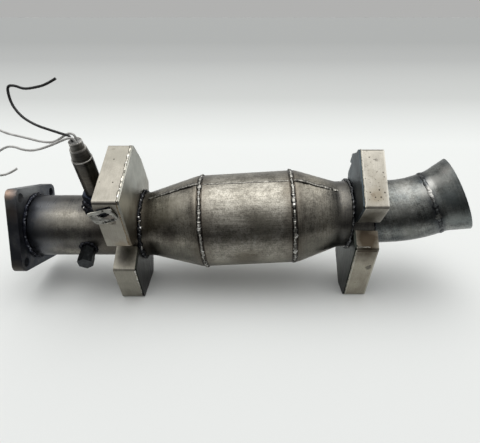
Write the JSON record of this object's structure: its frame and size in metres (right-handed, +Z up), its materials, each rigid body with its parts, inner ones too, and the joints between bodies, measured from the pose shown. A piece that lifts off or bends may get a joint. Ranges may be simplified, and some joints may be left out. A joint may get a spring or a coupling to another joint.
{
  "type": "catalytic converter",
  "caption": "Welded exhaust catalytic converter section: square inlet flange, coned round can, bent flared outlet, oxygen sensor with loose leads and folded sheet support brackets.",
  "frame": {"origin": "centre of the inlet flange's mating face, on the inlet pipe's axis", "axes": "+X along the inlet pipe into the converter, +Z up, +Y away from the side the picture shows; the brackets stand on the plane Z = -61.4 mm"},
  "size_m": [0.457, 0.1208, 0.2032],
  "materials": {
    "flange_steel": "rough dark scale with rust at the edges",
    "inlet_tube": "heat tinted satin",
    "cone_steel": "heat tinted satin",
    "shell_steel": "brushed and heat tinted",
    "outlet_tube": "heat tinted satin, bluish",
    "weld_metal": "rippled weld bead",
    "bracket_sheet": "satin rolled sheet",
    "bracket_plate": "brushed, heat tinted",
    "sensor_can": "turned satin",
    "sensor_hex": "blue black oxide",
    "plug_steel": "black oxide",
    "gasket_steel": "dull",
    "grommet_rubber": "matt",
    "black_insulation": "satin",
    "white_insulation": "satin",
    "mat_fibre": "fibrous",
    "core_ceramic": "washcoated, matt"
  },
  "bodies": {
    "root": {"inlet_flange": "flange_steel", "inlet_flange_weld": "weld_metal", "inlet_pipe": "inlet_tube", "sensor_bung": "sensor_can", "sensor_bung_weld": "weld_metal", "sensor_gasket": "gasket_steel", "sensor_hex_body": "sensor_hex", "sensor_tip_guard": "sensor_can", "sensor_lower_can": "sensor_can", "sensor_shoulder": "sensor_can", "sensor_cap": "sensor_can", "sensor_grommet": "grommet_rubber", "black_lead": "black_insulation", "white_lead_upper": "white_insulation", "white_lead_lower": "white_insulation", "probe_boss": "plug_steel", "probe_boss_weld": "weld_metal", "blanking_plug": "plug_steel", "inlet_cone": "cone_steel", "inlet_neck_weld": "weld_metal", "inlet_cone_weld": "weld_metal", "converter_shell": "shell_steel", "support_mat": "mat_fibre", "catalyst_core": "core_ceramic", "outlet_cone_weld": "weld_metal", "outlet_cone": "cone_steel", "outlet_neck_weld": "weld_metal", "outlet_pipe": "outlet_tube", "outlet_flare_weld": "weld_metal", "outlet_flare": "outlet_tube", "inlet_upper_plate": "bracket_plate", "inlet_upper_strip": "bracket_sheet", "inlet_window_clip": "bracket_sheet", "inlet_lower_plate": "bracket_plate", "inlet_lower_strip": "bracket_sheet", "inlet_bracket_weld": "weld_metal", "outlet_upper_plate": "bracket_plate", "outlet_upper_strip": "bracket_sheet", "outlet_upper_tab": "bracket_plate", "outlet_lower_plate": "bracket_plate", "outlet_lower_strip": "bracket_sheet", "outlet_bracket_weld": "weld_metal"}
  },
  "joints": []
}
